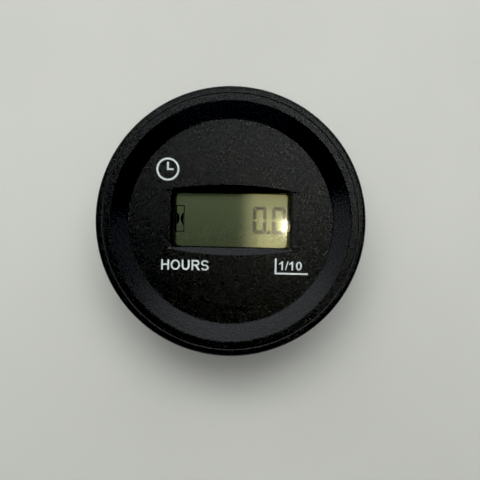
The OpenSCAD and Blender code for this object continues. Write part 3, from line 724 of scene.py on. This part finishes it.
def revolved(shape, points, x):
    """Spins a half section of [radius, z] points round the axis of a stud."""
    rail = [shape.verts.new((x + r, 0, z)) for r, z in points]
    edges = [shape.edges.new(pair) for pair in zip(rail, rail[1:])]
    bmesh.ops.spin(shape, geom=rail + edges, cent=(x, 0, 0), axis=(0, 0, 1), angle=2 * math.pi,
                   steps=STUD_STEPS, use_merge=True)


def threaded_stud(shape, x, end_z, head_z, thread_top):
    """A stud with its head, a plain shank inside the case and a rolled thread outside it."""
    revolved(shape, [
        (0, end_z),
        (STUD_CORE_R - STUD_TIP_TAPER, end_z),
        (STUD_CORE_R, end_z + STUD_TIP),
        (STUD_CORE_R, thread_top),
        (STUD_R, thread_top),
        (STUD_R, head_z - STUD_HEAD_T),
        (STUD_HEAD_R, head_z - STUD_HEAD_T),
        (STUD_HEAD_R, head_z),
        (0, head_z),
    ], x)
    turns = int((thread_top - end_z - STUD_TIP) / THREAD_PITCH)
    foot = thread_top - turns * THREAD_PITCH
    ridge = [(STUD_CORE_R, 0), (STUD_R, THREAD_CREST[0]), (STUD_R, THREAD_CREST[1]), (STUD_CORE_R, 1.0)]
    rail = [shape.verts.new((x + r, 0, foot + share * THREAD_PITCH)) for r, share in ridge]
    edges = [shape.edges.new(pair) for pair in zip(rail, rail[1:])]
    steps = (turns - 1) * THREAD_STEPS
    bmesh.ops.spin(shape, geom=rail + edges, cent=(x, 0, 0), axis=(0, 0, 1),
                   dvec=(0, 0, THREAD_PITCH / THREAD_STEPS), angle=2 * math.pi * (turns - 1), steps=steps)


def threaded_studs():
    """Both studs in one piece, threaded where they stand out of the case."""
    low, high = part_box("clamp_studs")
    shape = bmesh.new()
    thread_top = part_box("case")[0].z + THREAD_IN_CASE
    for side in (-1, 1):
        threaded_stud(shape, side * (high.x - STUD_HEAD_R), low.z, high.z, thread_top)
    bmesh.ops.remove_doubles(shape, verts=shape.verts, dist=STUD_WELD)
    made = piece("threaded_studs", shape, steel)
    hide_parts("clamp_studs")
    return made


ink = white_ink()
dark_bars = display_dark("switched-on bars", 2.0, BAR_GLOSS, *BAR_SHADES)
dark_point = display_dark("switched-on point", 1.66, BAR_GLOSS, *BAR_SHADES)
dark_sign = display_dark("switched-on sign", 1.6, SIGN_GLOSS, *SIGN_SHADES)
hours = [(letter_h, 0), (letter_o, 0.693), (letter_u, 1.499), (letter_r, 2.222), (letter_s, 2.92)]
legend("hours_legend", hours, HOURS_AT, HOURS_SIZE)
tenths = [(figure_one, 0), (slash, 0.477), (figure_one, 0.81), (figure_nought, 1.351)]
legend("tenths_legend", tenths, TENTHS_AT, TENTHS_SIZE)
tenths_rule()
clock_mark()
lens_border()
display_block()
zero("display_units", UNITS_X)
zero("display_tenths", UNITS_X + DIGIT_PITCH)
decimal_point()
hourglass()
threaded_studs()


def pale_floor():
    """A wide pale table top under the meter."""
    shape = bmesh.new()
    bmesh.ops.create_grid(shape, x_segments=1, y_segments=1, size=FLOOR_HALF)
    bmesh.ops.translate(shape, verts=shape.verts, vec=(0, 0, FLOOR_Z))
    mesh = bpy.data.meshes.new("pale_floor")
    shape.to_mesh(mesh)
    shape.free()
    paper = Finish("pale table", Roughness=0.75)
    paper.tint(paper.noise(60 * MM, 3), (0.66, 0.665, 0.635), (0.7, 0.705, 0.675))
    mesh.materials.append(paper.material)
    floor = bpy.data.objects.new("pale_floor", mesh)
    bpy.context.scene.collection.objects.link(floor)


def soft_box(name, at, aim, size, radiance, colour, turn=0.0):
    """A rectangular lamp that shines from one point towards another, turned on its axis by some degrees."""
    light = bpy.data.lights.new(name, "AREA")
    light.shape = "RECTANGLE"
    light.size, light.size_y = size
    light.energy = radiance * math.pi * size[0] * size[1]
    light.color = colour
    lamp = bpy.data.objects.new(name, light)
    lamp.visible_camera = False
    facing = (Vector(aim) - Vector(at)).to_track_quat("-Z", "Y").to_matrix().to_4x4()
    lamp.matrix_world = Matrix.Translation(at) @ facing @ Matrix.Rotation(math.radians(turn), 4, "Z")
    bpy.context.scene.collection.objects.link(lamp)
    return lamp


def window_panel(name, height, left, low, high, radiance, colour):
    """A panel straight above the meter that the display mirrors from its left edge on; in millimetres.
    Panels hang at different heights, because of lamps at one height only the first is mirrored."""
    at = ((left + PANEL_RIGHT) / 2 * MM, (low + high) / 2 * MM, height * MM)
    size = ((PANEL_RIGHT - left) * MM, (high - low) * MM)
    return soft_box(name, at, (at[0], at[1], 0), size, radiance, colour)


def table_light():
    """Two lamps above the far side and a ceiling light the table. Gloss doesn't show them."""
    lamps = [
        soft_box("far_left_lamp", (-0.034, 0.084, 0.35), (0, 0, 0), (0.11, 0.11), 9.2, WHITE),
        soft_box("far_right_lamp", (0.034, 0.084, 0.35), (0, 0, 0), (0.11, 0.11), 9.2, WHITE),
        soft_box("ceiling", (0, 0.2, 0.9), (0, 0, 0), (1.2, 1.0), 0.5, WHITE),
    ]
    for lamp in lamps:
        lamp.visible_glossy = False


def dial_light():
    """Two sheen panels that shade the dial from the far right to the near left."""
    soft_box("right_sheen", (0.084, 0.109, 0.5), (0, 0, 0), (0.182, 0.06), 3.75, DAYLIGHT, turn=-41)
    soft_box("left_sheen", (-0.076, 0.15, 0.5), (0, 0, 0), (0.06, 0.06), 6.6, DAYLIGHT)


def window_light():
    """Panels with stepped left edges, two warm glows and a spot, mirrored in the right of the window."""
    for step in range(PANEL_STEPS):
        window_panel(f"window_panel_{step}", 400 + step, 3.2 + 2.6 * step, -12, 31, 0.345, AMBER)
    window_panel("window_glow_wide", 405, 14, -14, 16, 0.95, AMBER)
    window_panel("window_glow_near", 406, 20, -13, 10, 1.3, HONEY)
    soft_box("spot_lamp", (*SPOT_AT, 0.39), (*SPOT_AT, 0), (0.0073, 0.0066), 34.0, GOLD)


def wall_light():
    """Low walls of light round the table that the cone of the bezel mirrors, faint in front."""
    soft_box("far_wall", (-0.1, 0.7, 0.245), (-0.1, 0, 0.245), (2.25, 0.32), 1.42, DAYLIGHT)
    soft_box("left_wall", (-0.8, 0.25, 0.25), (0, 0.25, 0.25), (0.9, 0.34), 0.9, DAYLIGHT)
    soft_box("right_wall", (0.9, 0.25, 0.28), (0, 0.25, 0.28), (0.7, 0.36), 0.62, DAYLIGHT)
    soft_box("far_left_wall", (-0.6, 0.62, 0.36), (0, 0, 0), (0.4, 0.25), 0.5, DAYLIGHT)
    soft_box("front_wall", (0, -0.8, 0.23), (0, 0, 0.23), (1.6, 0.5), 0.12, DAYLIGHT)


def faint_light():
    """A weak sheen on the left of the dial, and a front panel that only gloss shows, for rear views."""
    soft_box("left_edge_sheen", (-0.105, 0.01, 0.5), (0, 0, 0), (0.03, 0.1), 0.65, DAYLIGHT)
    front_panel = soft_box("front_panel", (0, -0.6, 0.55), (0, 0, 0), (0.9, 0.3), 0.5, DAYLIGHT)
    front_panel.visible_diffuse = False


def outer_light():
    """Lamps with a narrow beam over the outer parts of the table, which show in views from the side."""
    for side in (-1, 1):
        out = OUTER_TABLE * side
        ends = soft_box(f"table_end_{side}", (out, 0, 0.6), (out, 0, 0), (1.0, 3.2), 0.58, WHITE)
        sides = soft_box(f"table_side_{side}", (0, out, 0.6), (0, out, 0), (1.2, 1.0), 0.58, WHITE)
        for lamp in (ends, sides):
            lamp.data.spread = OUTER_BEAM


def tent():
    """Dim light from all round, with a pale backdrop where the camera looks past the table."""
    world = bpy.data.worlds.new("tent")
    world.use_nodes = True
    tree = world.node_tree
    glow = tree.nodes["Background"]
    glow.inputs["Color"].default_value = TENT_COLOUR
    glow.inputs["Strength"].default_value = TENT_STRENGTH
    backdrop = tree.nodes.new("ShaderNodeBackground")
    backdrop.inputs["Color"].default_value = BACKDROP_COLOUR
    rays = tree.nodes.new("ShaderNodeLightPath")
    mix = tree.nodes.new("ShaderNodeMixShader")
    tree.links.new(rays.outputs["Is Camera Ray"], mix.inputs["Fac"])
    tree.links.new(glow.outputs["Background"], mix.inputs[1])
    tree.links.new(backdrop.outputs["Background"], mix.inputs[2])
    tree.links.new(mix.outputs["Shader"], tree.nodes["World Output"].inputs["Surface"])
    bpy.context.scene.world = world


def camera():
    """The camera looks straight down on the dial, a little turned. The black point deepens the shadows."""
    view = bpy.data.cameras.new("front_view")
    view.sensor_width = CAMERA_SENSOR
    view.lens = CAMERA_LENS
    view.clip_start = CAMERA_NEAR
    stand = bpy.data.objects.new("front_view", view)
    stand.location = CAMERA_AT
    stand.rotation_euler = (0, 0, CAMERA_TURN)
    bpy.context.scene.collection.objects.link(stand)
    bpy.context.scene.camera = stand
    look = bpy.context.scene.view_settings
    look.view_transform = "Standard"
    look.use_curve_mapping = True
    look.curve_mapping.black_level = BLACK_POINT
    look.curve_mapping.update()


pale_floor()
table_light()
dial_light()
window_light()
wall_light()
faint_light()
outer_light()
tent()
camera()
